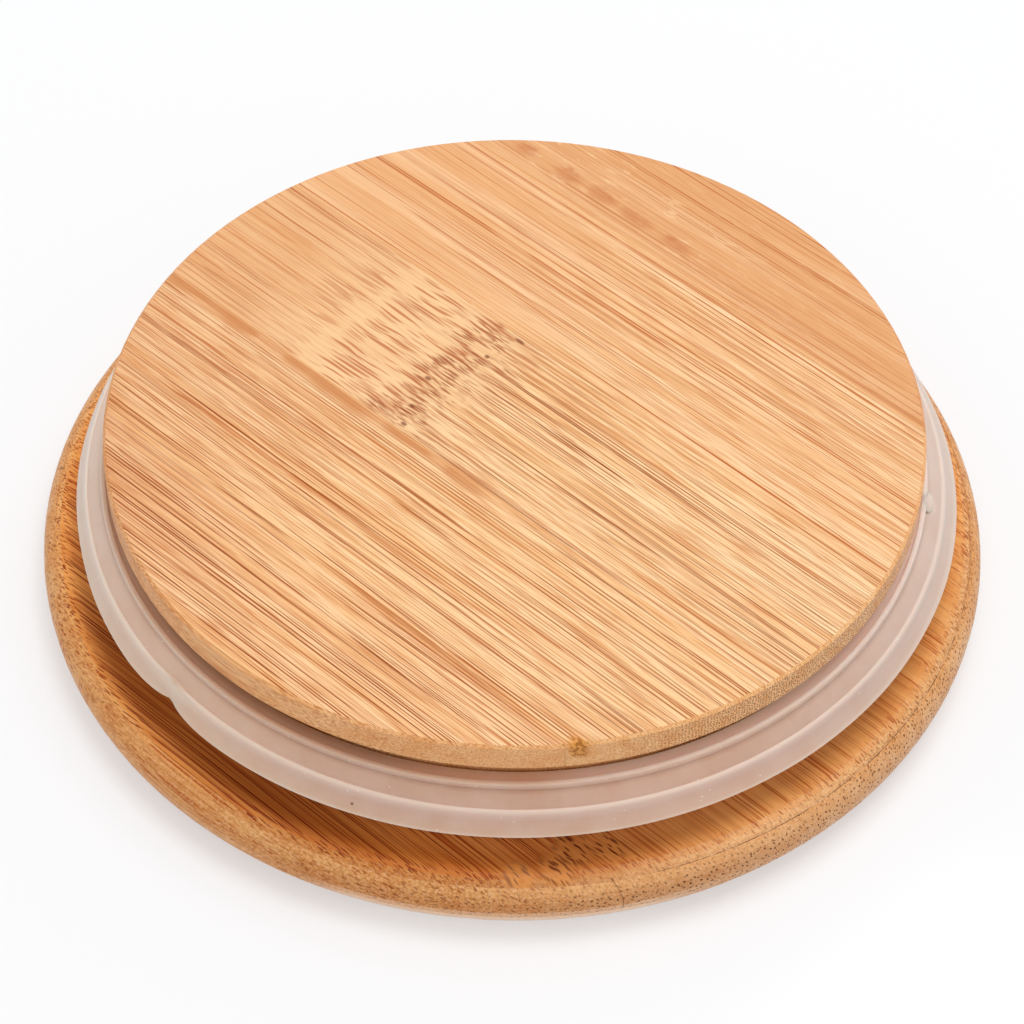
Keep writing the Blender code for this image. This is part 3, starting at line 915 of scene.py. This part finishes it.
def seal_tone(g, place, radius):
    """The silicone's colour: its tint by radius, a slow cloud, and painted light and shade round the axis and
    on the collar.
    """
    first, last = SEAL_TINTS[0][0], SEAL_TINTS[-1][0]
    reach = g.node("ShaderNodeMapRange", {"Value": radius, "From Min": first, "From Max": last})
    colour = g.ramp(reach, [((r - first) / (last - first), srgb(*shade)) for r, shade in SEAL_TINTS])
    cloud = g.noise(place, SEAL_CLOUD_SCALE, 3, 0.6)
    colour = g.over(colour, g.fade(cloud, *SEAL_CLOUD_RANGE), SEAL_CLOUD_SHADE)
    facing, side = (g.math("DIVIDE", towards(g, place, angle), radius)
                    for angle in (FRONT, FRONT + math.pi / 2))
    # Painted light on the left and at the sides and back, and painted shade on the right
    for way, shares, shade in ((side, LEFT_SHARES, LEFT_SHADE), (facing, FAR_SHARES, FAR_SHADE),
                               (side, RIGHT_SHARES, RIGHT_SHADE)):
        colour = g.over(colour, g.fade(way, *shares), shade)
    # Painted light on the collar on the right, and painted shadow under the plug's edge on the left
    pale = g.mul(g.fade(radius, *COLLAR_LIGHT_RANGE), g.fade(side, *COLLAR_RIGHT_SHARES))
    colour = g.over(colour, pale, COLLAR_LIGHT_SHADE)
    dark = g.mul(g.fade(radius, *COLLAR_SHADOW_RANGE), g.fade(radius, *COLLAR_SHADOW_LIMIT))
    return g.over(colour, g.mul(dark, g.fade(side, *COLLAR_LEFT_SHARES)), COLLAR_SHADOW_SHADE)


def seal_specks(g, place, colour):
    """Fine pale dust, the milky cloud round the gate and one dark speck."""
    distance, pick = g.cells(place, DUST_SCALE, dims="3D")
    dust = g.mul(g.fade(distance, *DUST_RANGE), g.fade(pick[0], *DUST_PICK_RANGE))
    colour = g.over(colour, g.mul(dust, DUST_STRENGTH), DUST_SHADE)
    gate = (GATE_CENTRE[0] * math.cos(GATE_PLACE), GATE_CENTRE[0] * math.sin(GATE_PLACE), GATE_CENTRE[1])
    cloud = g.fade(g.distance(place, gate), *GATE_CLOUD_RANGE)
    colour = g.over(colour, g.mul(cloud, GATE_CLOUD_STRENGTH), GATE_CLOUD_SHADE)
    speck = g.fade(g.distance(place, SPECK_PLACE), *SPECK_RANGE)
    return g.over(colour, g.mul(speck, SPECK_STRENGTH), SPECK_SHADE)


def silicone():
    """Milky translucent silicone."""
    material, g, shader = new_material("silicone")
    place = g.place()
    grain = g.noise(place, SEAL_GRAIN_SCALE, 2, 0.6)
    colour = seal_specks(g, place, seal_tone(g, place, from_axis(g, place)))
    g.put(shader.inputs["Base Color"], colour)
    g.put(shader.inputs["Roughness"], g.fade(grain, *SEAL_ROUGHNESS_RANGE))
    shader.inputs["Subsurface Weight"].default_value = 1.0
    shader.inputs["Subsurface Radius"].default_value = SEAL_DEPTH_SHARES
    shader.inputs["Subsurface Scale"].default_value = SEAL_DEPTH * MM
    shader.inputs["IOR"].default_value = SEAL_INDEX
    bump(g, shader, grain, SEAL_BUMP)
    return material


def worn(point):
    """Moves a point of the moulded ring by its lean, its slight waviness and the kink in its edge."""
    radius, height = math.hypot(point.x, point.y), point.z
    turn = math.degrees(math.atan2(point.y, point.x))
    away = (turn - KINK_PLACE + 180) % 360 - 180
    if math.hypot(radius - CREASE[0], height - CREASE[1]) < BEAD_REACH:
        dent = DENT_DEPTH * math.exp(-(away / DENT_WIDTH) ** 2)
        radius, height = radius - dent, height - dent
    lip = min(max((radius - LIP_START) / LIP_WIDTH, 0), 1)
    kink = math.exp(-abs(away) / KINK_WIDTH) + KINK_SPREAD_SHARE * math.exp(-(away / KINK_SPREAD) ** 2)
    pinch = KINK_DEPTH * lip ** LIP_POWER * kink / (1 + KINK_SPREAD_SHARE)
    wave = WAVE * lip * noise.noise(Vector((point.x * WAVE_SCALE, point.y * WAVE_SCALE, WAVE_LEVEL)))
    wave += LEAN * lip ** LIP_POWER * math.cos(math.radians(turn) - LEAN_TOWARDS) ** LEAN_POWER
    radius, height = radius - pinch + wave, height + KINK_RISE_SHARE * pinch
    angle = math.radians(turn)
    return Vector((radius * math.cos(angle), radius * math.sin(angle), height))


def moved(point, distance, angle):
    """A point of the profile plane, moved some way at an angle."""
    return (point[0] + distance * math.cos(angle), point[1] + distance * math.sin(angle))


def seal_profile():
    """The ring's profile: sleeve, two-angle skirt with a bead on its crease, and collar."""
    upper = math.atan2(CREASE[0] - SLEEVE_RADIUS, SKIRT_TOP - CREASE[1])
    lower = math.atan2(EDGE[0] - CREASE[0], CREASE[1] - EDGE[1])
    middle = (upper + lower) / 2
    under_crease = moved(CREASE, -SKIRT_THICKNESS, middle)
    bead = []
    for along, height in BEAD:
        slope = upper if along < 0 else lower
        bead.append(moved(moved(CREASE, along, slope - math.pi / 2), height, middle))
    quarter = math.pi / 2
    profile = [(SLEEVE_BORE, SLEEVE_BASE), (SLEEVE_RADIUS, SLEEVE_BASE),
               (SLEEVE_RADIUS, under_crease[1] + SKIRT_ROOT), under_crease,
               moved(EDGE, -EDGE_THICKNESS, lower), EDGE, *bead[::-1], *SKIRT_BLEND]
    for radius, start in ((COLLAR_RADIUS - COLLAR_ROUND, 0), (COLLAR_BORE + COLLAR_ROUND, quarter)):
        profile += arc((radius, COLLAR_SHOULDER), COLLAR_ROUND, start, start + quarter, COLLAR_STEPS)
    return profile + [(COLLAR_BORE, COLLAR_FLOOR), (SLEEVE_BORE, COLLAR_FLOOR)]


def gate_mark(skin):
    """The small mark that the moulding gate left on the ring."""
    turn = Matrix.Rotation(GATE_PLACE, 4, "Z")
    out = Matrix.Translation((GATE_CENTRE[0] * MM, 0, GATE_CENTRE[1] * MM))
    tilt = Matrix.Rotation(GATE_TILT, 4, "Y")
    size = Matrix.Diagonal((*[half * MM for half in GATE_SIZE], 1))
    gate = bmesh.new()
    bmesh.ops.create_icosphere(gate, subdivisions=GATE_DETAIL, radius=1.0, matrix=turn @ out @ tilt @ size)
    piece("gate_mark", gate, skin)


def seal():
    """The sealing ring, with a finer lip than the CAD's, and its gate mark."""
    shape = turned(seal_profile(), RING_STEPS, True)
    for vert in shape.verts:
        vert.co = worn(vert.co / MM) * MM
    skin = silicone()
    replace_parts(piece("sealing_ring", shape, skin), "seal_ring")
    gate_mark(skin)


def table_top():
    """White glossy table."""
    mesh = bpy.data.meshes.new("table_top")
    corners = [(x * TABLE_REACH, y * TABLE_REACH, -TABLE_DROP)
               for x, y in ((-1, -1), (1, -1), (1, 1), (-1, 1))]
    mesh.from_pydata(corners, [], [(0, 1, 2, 3)])
    material, g, shader = new_material("table_top")
    cloud = g.noise(g.place(unit=1.0), TABLE_CLOUD_SCALE, 2)
    g.put(shader.inputs["Base Color"], g.ramp(cloud, TABLE_TINTS))
    shader.inputs["Roughness"].default_value = TABLE_ROUGHNESS
    # Seen by the camera or in a reflection, the table is partly a white backdrop, which keeps its shadow soft
    glow = g.node("ShaderNodeEmission", {"Color": BACKDROP_TINT, "Strength": 1.0})
    path = g.node("ShaderNodeLightPath", out=None).outputs
    seen = g.math("MAXIMUM", path["Is Camera Ray"], path["Is Glossy Ray"])
    both = g.node("ShaderNodeMixShader", {0: g.mul(seen, BACKDROP_SHARE), 1: shader.outputs[0], 2: glow})
    g.put(material.node_tree.nodes["Material Output"].inputs["Surface"], both)
    mesh.materials.append(material)
    floor = bpy.data.objects.new("table_top", mesh)
    bpy.context.collection.objects.link(floor)


def lights():
    """Soft studio light from all round, a little stronger from above."""
    world = bpy.data.worlds.new("studio")
    world.use_nodes = True
    bpy.context.scene.world = world
    back = world.node_tree.nodes["Background"]
    back.inputs["Color"].default_value = (1, 1, 1, 1)
    back.inputs["Strength"].default_value = WORLD_STRENGTH
    lamp = bpy.data.lights.new("softbox", "AREA")
    lamp.shape = "RECTANGLE"
    lamp.size, lamp.size_y = LAMP_SIZE, LAMP_SIZE
    lamp.energy = LAMP_POWER
    box = bpy.data.objects.new("softbox", lamp)
    box.location = LAMP_PLACE
    box.rotation_euler = (-box.location).to_track_quat("-Z", "Y").to_euler()
    bpy.context.collection.objects.link(box)


camera()
dress_wood()
glue_lines()
seal()
table_top()
lights()

scene = bpy.context.scene
scene.view_settings.view_transform = "Standard"
